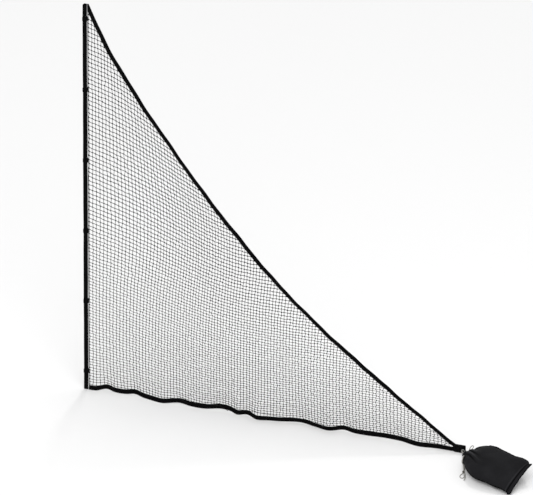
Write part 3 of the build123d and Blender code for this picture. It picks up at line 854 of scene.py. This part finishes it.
def bag_surface(count, around, shrink=0.0):
    """The filled bag's skin as a grid of points, with gathers at the neck, puckered seams and soft dents."""
    at, centre, size, lateral, upward = bag_frames(count)
    t = (np.arange(around) + 0.5) * tau / around
    end = at[-1]
    s = at[:, None]
    fullness = np.clip(np.minimum(s / 0.12, (end - s) / 0.09), 0, 1)
    power = 1.12 - 0.3 * fullness
    across = np.cos(t) * np.ones_like(s)
    lift = np.sign(np.sin(t)) * np.abs(np.sin(t)) ** power
    # Gathers fan out from the neck and fade along the bag.
    wander = t + 0.22 * np.sin(3 * t + 0.8) + 0.16 * np.sin(5 * t + 2.1) + 0.25 * np.sin(9 * s)
    ridge = np.abs(np.sin(4.0 * wander + 0.9)) ** 0.8
    fine = np.abs(np.sin(11.5 * wander + 0.7)) ** 0.6
    reach = 0.120 + 0.040 * np.sin(3 * t + 1.2)
    near_neck = np.exp(-((s / reach) ** 2.2))
    depth = 0.46 * np.minimum(size[:, 1:], 0.048) * np.abs(np.sin(t)) ** 0.5
    gathers = near_neck * (depth * (ridge - 0.80) + 0.0045 * (fine - 0.6))
    # Seams run along both sides; the cloth puckers beside them.
    seam = np.abs(np.sin(t - seam_turn(s, end)))
    beside_seam = np.exp(-((seam / 0.22) ** 2)) * fullness
    pucker = 0.0005 * beside_seam * np.sin(s * tau / 0.023 + 2 * np.sin(s * 31))
    # Broad dents where the sand has settled, and tucks at the end hem.
    dents = 0.0032 * np.sin(s * 21 + 5.2 * np.cos(t)) * np.sin(2 * t + 0.6)
    dents = dents + 0.0018 * np.sin(s * 47 + 2.2 * np.sin(2 * t)) * np.cos(3 * t + s * 12)
    near_end = np.exp(-(((end - s) / 0.05) ** 2))
    tucks = 0.0010 * near_end * np.sin(across * 19 + 0.6) * np.clip((end - s) / 0.02, 0, 1)
    # The sand leans on both shoulders by the neck; further on the near seam draws the cloth in.
    by_neck = smooth_step(s, 0.04, 0.08) * (1 - smooth_step(s, 0.15, 0.22))
    shoulder = 0.007 * np.exp(-(((t - 0.7) / 0.45) ** 2)) * smooth_step(s, 0.03, 0.06)
    shoulder = shoulder * (1 - smooth_step(s, 0.10, 0.17))
    cheek = 0.006 * np.exp(-(((t - pi - 0.45) / 0.5) ** 2)) * by_neck
    cheek = cheek - 0.006 * np.exp(-(((t - pi - 0.6) / 0.45) ** 2)) * smooth_step(s, 0.18, 0.25)
    wrinkle = gathers + pucker + dents * fullness + tucks + shoulder + cheek - 0.0016 * hem_groove(s, end)
    # How deep in a fold each point lies, for the cloth's painted shade; the ridges go below 0 for its painted
    # highlight. The end hem's stitch groove gets a painted dark line, with a painted light band beside it.
    fold = near_neck * (1.5 * np.clip(1 - 1.5 * ridge, 0, 1) + 0.5 * np.clip(1 - 2.2 * fine, 0, 1)
                        - 1.2 * np.clip((ridge - 0.80) / 0.2, 0, 1))
    fold = fold + 0.7 * hem_groove(s, end) - 0.4 * hem_groove(s + 0.006, end)
    half_width = size[:, :1] - shrink
    half_height = np.maximum(size[:, 1:] - shrink, 0.0012)
    corner = 0.006 * smooth_step(s, end - 0.10, end) * np.maximum(across, 0) ** 2
    points = (centre[:, None] + lateral[:, None] * (half_width * across + corner)[..., None]
              + upward[:, None] * (half_height * lift)[..., None])
    outward = unit(lateral[:, None] * (across / half_width)[..., None]
                   + upward[:, None] * (lift / half_height)[..., None])
    points = points + outward * wrinkle[..., None]
    points[..., 2] -= 0.005 * smooth_step(s, end - 0.08, end) * np.maximum(across, 0) ** 2
    # It rests on the ground, and flattens there with a soft edge.
    floor_at = GROUND + 0.0008 + shrink
    soft = 0.004
    over = (points[..., 2] - floor_at) / soft
    points[..., 2] = floor_at + soft * np.where(over > 12, over, np.log1p(np.exp(np.minimum(over, 12))))
    return at, points, fold


def bag_body():
    """The bag's skin, and the sand inside it: the same shape, smaller and without its flat ends."""
    at, points, fold = bag_surface(BAG_ROWS, BAG_AROUND)
    loop = points[BAG_ROWS // 2]
    v = arc_lengths(np.vstack([loop[-1], loop]))
    made = grid_object("bag_body", points, at, v, CLOTH, caps=True)
    # The fold values drive the cloth's painted shade in the folds and painted highlights on the ridges.
    values = made.data.attributes.new("fold", "FLOAT", "POINT").data
    values.foreach_set("value", fold.astype(np.float32).ravel())
    put_on(made, "weight_bag", "bag_cloth", "bag_upper_panel", "bag_lower_panel")
    at, points, _ = bag_surface(60, 60, shrink=0.012)
    sand = grid_object("bag_sand", points[3:-6], at[3:-6], np.arange(61) * 0.01, SAND, caps=True)
    put_on(sand, "weight_bag", "sand", "sand_fill")


bag_body()
HEM_POINTS = 90


def hem_line(share, lift):
    """A line across the flat end, from corner to corner: share is 0 on the bag and 1 on the free edge."""
    _, centre, size, lateral, upward = bag_frames(BAG_ROWS)
    across = np.linspace(-1, 1, HEM_POINTS)
    far, near = np.clip(across, 0, 1), np.clip(-across, 0, 1)
    rounded = 1 - 0.75 * np.clip((near - 0.88) / 0.12, 0, 1) ** 2
    ear = (0.009 + 0.011 * far**1.6 + 0.008 * near**2.2) * rounded
    flare = 0.001 * share * near**3 + (0.006 + 0.005 * share) * far**3
    wave = 0.0010 * np.sin(across * 11 + 0.5) + 0.0005 * np.sin(across * 29)
    rise = share**2 * (0.003 * far**2 - 0.005 * (1 - far)) - 0.005 * far**2
    points = (centre[-1] + lateral[-1] * (across * size[-1, 0] + np.sign(across) * flare)[:, None]
              + HEM_FORWARD * (ear * share)[:, None] + upward[-1] * (wave * (0.3 + share) + lift)[:, None]
              + UP * rise[:, None])
    points[:, 2] = np.maximum(points[:, 2], GROUND + 0.0006)
    return points


def side_seams():
    """The bound edge of cloth along each side seam. It runs on to the corner of the flat end."""
    at, points, _ = bag_surface(BAG_ROWS, BAG_AROUND)
    rows = np.arange(BAG_ROWS)
    used = slice(6, BAG_ROWS - 12, 6)
    for name, first, corner in (("bag_seam_far", 0, -1), ("bag_seam_near", BAG_AROUND // 2, 0)):
        place = first - 0.5 + seam_turn(at, at[-1]) / tau * BAG_AROUND
        below = np.floor(place).astype(int)
        share = (place - below)[:, None]
        line = (points[rows, below % BAG_AROUND] * (1 - share)
                + points[rows, (below + 1) % BAG_AROUND] * share)
        outer = unit(line - points.mean(axis=1))
        line = line + outer * (0.0016 - 0.0040 * smooth_step(at, at[-1] - 0.05, at[-1]))[:, None]
        ends = np.array([hem_line(part, 0)[corner] for part in (0.45, 0.75, 1.0)])
        sides = np.tile(unit(hem_line(0, 0)[corner] - hem_line(0, 0)[HEM_POINTS // 2]), (3, 1))
        line, outer = np.vstack([line[used], ends]), np.vstack([outer[used], sides])
        lengths = arc_lengths(line)
        even = np.linspace(0, lengths[-1], 320)
        line, outer = curve_through(lengths, line, even), unit(curve_through(lengths, outer, even))
        line[:, 2] = np.maximum(line[:, 2], GROUND + 0.0022)
        put_on(band(name, line, outer, 0.0080, 0.0030, TAB_WEB), "weight_bag", "bag_cloth")


side_seams()


def end_hem():
    """The flat sewn end with its bound edge, hollow in plan."""
    steps = np.arange(10)
    rows = []
    for step, facing in [(k, 1) for k in steps] + [(k, -1) for k in steps[::-1]]:
        share = step / 9
        pinch = 1 - 0.55 * np.exp(-(((share - 0.38) / 0.09) ** 2))
        rows.append(hem_line(share, facing * 0.0019 * pinch * (1 - 0.35 * share)))
    u, v = np.linspace(-0.104, 0.104, HEM_POINTS), np.concatenate([steps, steps[::-1], [0]]) * 0.0018
    fold = grid_object("bag_end_hem_fold", np.swapaxes(rows, 0, 1), u, v, CLOTH, caps=True)
    put_on(fold, "weight_bag", "bag_cloth", "bag_end_hem")
    across = np.tile(HEM_FORWARD, (HEM_POINTS, 1))
    edge = band("bag_end_binding", hem_line(1.0, 0.0), across, 0.006, 0.0046, TAB_WEB)
    put_on(edge, "weight_bag", "bag_cloth")


end_hem()


def mouth():
    """The gathered channel that holds the cord, and the frill that stands out of it."""
    count = 360
    t = np.arange(count) * tau / count
    wander = t + 0.12 * np.sin(3 * t + 1) + 0.08 * np.sin(7 * t)
    pleat = 1 - np.abs(np.sin(11 * wander)) ** 0.8

    def ring(reach, half_width, half_height, depth, thickness=0.0, droop=0.0):
        """One pleated turn round the neck, at a distance from the eyelet. droop lets its outer ear hang."""
        r = 1 + depth * (pleat - 0.4)
        ear = (droop * np.maximum(-np.cos(t), 0) ** 6)[:, None]
        side = ((half_width - thickness) * np.cos(t) * r)[:, None] - 0.004 * ear
        rise = ((half_height - thickness) * np.sin(t) * r)[:, None] - 0.009 * ear
        points = EYELET_FOOT + TIE_ALONG * (reach + 0.006 * ear) + TIE_ACROSS * side + UP * (0.015 + rise)
        points[:, 2] = np.maximum(points[:, 2], GROUND + 0.0007)
        return points

    def frill_ring(share, root, spread, thickness=0.0):
        return ring(root - spread * share, 0.0195 + 0.0060 * share, 0.0088 + 0.0012 * share,
                    0.16 + 0.12 * share, thickness, share)

    channel = [(0.0585, 0.0235, 0.0118, 0.10), (0.0560, 0.0245, 0.0126, 0.10), (0.0535, 0.0250, 0.0131, 0.09),
               (0.0500, 0.0252, 0.0132, 0.08), (0.0470, 0.0249, 0.0129, 0.09), (0.0445, 0.0232, 0.0115, 0.12),
               (0.0430, 0.0205, 0.0094, 0.15)]
    outer = [ring(*row) for row in channel]
    inner = [ring(*row, thickness=0.006) for row in channel[::-1]]
    shares = np.linspace(0, 1, 8)
    front = [frill_ring(share, 0.0432, 0.0135) for share in shares]
    back = [frill_ring(share, 0.0430, 0.0130, 0.0014) for share in shares[::-1]]
    for name, rings, node in (("bag_mouth_band", outer + inner + outer[:1], "bag_mouth_channel"),
                              ("bag_mouth_frill_cloth", front + back, "bag_mouth_frill")):
        rings = np.array(rings[::-1])
        made = grid_object(name, rings, arc_lengths(rings[:, 0]), np.arange(count + 1) * 0.00035, CLOTH)
        put_on(made, "weight_bag", "bag_cloth", node)


mouth()

# ---- Drawcord: the same routes as in the CAD, in mm ----
CORD = 0.004
LIE = 2.2  # the height of a cord's middle where it lies on the ground
LOOP_LEAN = radians(30)
LOOP_ALONG = heading(radians(19.9))[0]


def loop_point(reach, side):
    """A point of the loop that stands up from the neck, along and across its own leaning line."""
    level = 1 + reach * sin(LOOP_LEAN) + side * cos(LOOP_LEAN)
    rise = 24 + reach * cos(LOOP_LEAN) - side * sin(LOOP_LEAN)
    return NECK + (LOOP_ALONG * level + UP * rise) / 1000


TIE_ROUTE = [tie_point(*place) for place in (
    (22, 12, 14), (12, 15, 13), (3, 12, 13), (-1, 4, 13), (-1, -4, 13), (3, -12, 13), (12, -15, 13),
    (22, -12, 14),
)]
TOP_LOOP_ROUTE = [loop_point(*place) for place in (
    (0, -3), (13, -4.5), (27, -6), (40, -6.5), (50, -3), (50, 4), (39, 7), (26, 5), (12, 4), (0, 3),
)]
LEFT_END_ROUTE = [tie_point(47.6, -23, 15)] + [bag_point(*place) for place in (
    (-5, -33, 12), (-1, -41, 5), (8, -55, LIE), (25, -71, LIE), (50, -87, LIE), (76, -113, LIE),
    (97, -138, LIE + 1), (110, -157, LIE + 1), (110, -172, LIE), (120, -192, LIE), (138, -199, LIE),
    (146, -188, LIE), (138, -174, LIE), (122, -160, LIE + 1),
)]
RIGHT_END_ROUTE = [tie_point(52.3, -23, 15)] + [bag_point(*place) for place in (
    (1, -35, 10.5), (4, -47, 4), (15, -58, LIE), (35, -71, LIE), (60, -90, LIE), (84, -116, LIE),
    (106, -144, LIE + 3), (123, -153, LIE + 1), (141, -170, LIE), (157, -189, LIE), (165, -206, LIE),
)]
KNOT = bag_point(106, -147, 6)


def cord_curve(name, route, node, body):
    """A round cord along a route."""
    data = bpy.data.curves.new(name, "CURVE")
    data.dimensions = "3D"
    data.bevel_depth = CORD / 2
    data.bevel_resolution = 4
    data.resolution_u = 10
    data.use_fill_caps = True
    spline = data.splines.new("NURBS")
    spline.points.add(len(route) - 1)
    for point, place in zip(spline.points, route):
        point.co = (*place, 1.0)
    spline.order_u = 3
    spline.use_endpoint_u = True
    data.materials.append(CORD_GREY)
    made = put_on(add_object(name, data), body, "cord", node)


def cord_knot():
    """An overhand knot in both cords: three turns of cord round each other."""
    turn = np.linspace(0, 2 * tau, 220, endpoint=False)
    a, b = heading(BAG_HEADING - radians(40))
    lines = []
    for phase in (0.0, pi / 3, 2 * pi / 3):
        angle = turn / 2 + phase
        wide = 0.0052 + 0.0016 * np.cos(3 * angle + phase)
        line = (KNOT + a * (wide * 1.15 * np.cos(angle))[:, None] + b * (wide * 0.8 * np.sin(angle))[:, None]
                + UP * (0.0026 * np.sin(3 * angle + 2 * phase) - 0.0002)[:, None])
        line[:, 2] = np.clip(line[:, 2], GROUND + 0.0022, GROUND + 0.0096)
        lines.append(line)
    # The knot's turns take the darker cord copy: painted shade.
    made = tubes("drawcord_knot_turns", lines, CORD / 2 * 0.95, CORD_KNOT_SHADED, 14)
    return put_on(made, "weight_bag", "cord", "drawcord_knot")


def neck_turn():
    """The cord inside the mouth's channel."""
    t = np.linspace(0, tau, 90)
    side, rise = 0.0205 * np.cos(t)[:, None], 0.0085 * np.sin(t)[:, None]
    line = tie_point(50, 0, 15) + TIE_ACROSS * side + UP * rise
    made = tubes("drawcord_in_channel", [line], CORD / 2, CORD_GREY, 14)
    put_on(made, "weight_bag", "cord", "drawcord_neck_turn")


knot = cord_knot()
neck_turn()
cord_curve("drawcord_tie_loop", TIE_ROUTE, "drawcord_tie", "bag_tie")
cord_curve("drawcord_top_bight", TOP_LOOP_ROUTE, "drawcord_top_loop", "weight_bag")
cord_curve("drawcord_left_tail", LEFT_END_ROUTE, "drawcord_left_end", "weight_bag")
cord_curve("drawcord_right_tail", RIGHT_END_ROUTE, "drawcord_right_end", "weight_bag")


# ---- Floor and light ----
def stage():
    """A white floor and world, a weak sun for a soft shadow, and a large soft light."""
    level = GROUND - 0.0004
    corners = [(x, y, level) for x, y in ((-30, -70), (30, -70), (30, 60), (-30, 60))]
    white = Graph("floor_white").finish((0.80, 0.80, 0.80), 0.9, 0.1)
    mesh_object("floor", corners, [(0, 1, 2, 3)], white)
    scene.world = bpy.data.worlds.new("studio")
    scene.world.use_nodes = True
    background = scene.world.node_tree.nodes["Background"]
    background.inputs["Color"].default_value = (1, 1, 1, 1)
    background.inputs["Strength"].default_value = 0.90
    sun = add_object("sun", bpy.data.lights.new("sun", "SUN"))
    sun.data.energy = 0.5
    sun.data.angle = radians(7)
    aim(sun, (0.062, -1.255, -2.286))
    soft = add_object("soft_key", bpy.data.lights.new("soft_key", "AREA"))
    soft.data.energy = 800
    soft.data.size = 8.0
    soft.location = (4.0, -9.0, 9.0)
    aim(soft, (-2.6, 9.0, -9.0))
    scene.view_settings.view_transform = "Standard"


stage()
